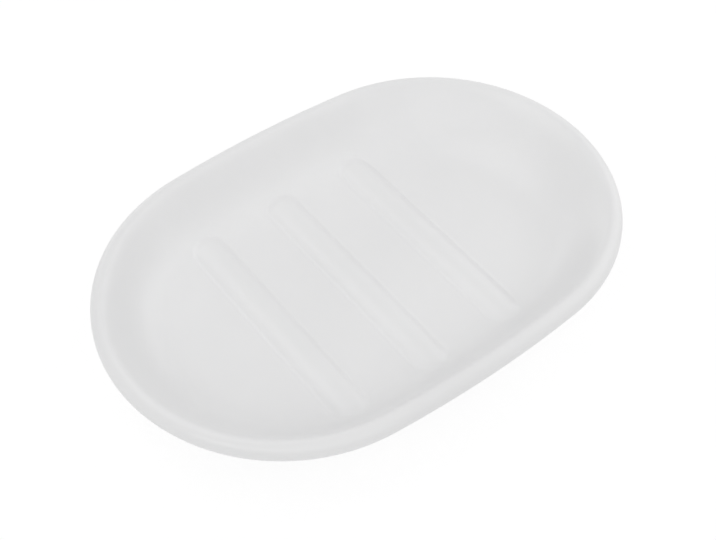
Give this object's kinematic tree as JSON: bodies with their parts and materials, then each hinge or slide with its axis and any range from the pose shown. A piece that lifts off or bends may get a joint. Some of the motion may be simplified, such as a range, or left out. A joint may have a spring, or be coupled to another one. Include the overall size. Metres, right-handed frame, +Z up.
{
  "type": "soap dish",
  "caption": "Shallow oval soap dish with a rolled rim, raised drainage ribs across the floor and soft foot pads.",
  "frame": {"origin": "centre of the outline, on the plane that the foot pads stand on", "axes": "+X along the dish, toward the end with the longer basin wall; +Y across it, along the ribs; +Z up"},
  "size_m": [0.14, 0.096, 0.02],
  "materials": {
    "dish_plastic": "satin",
    "pad_rubber": "matte"
  },
  "bodies": {
    "root": {"dish": "dish_plastic", "foot_pad_front_left": "pad_rubber", "foot_pad_front_right": "pad_rubber", "foot_pad_rear_left": "pad_rubber", "foot_pad_rear_right": "pad_rubber"}
  },
  "joints": []
}
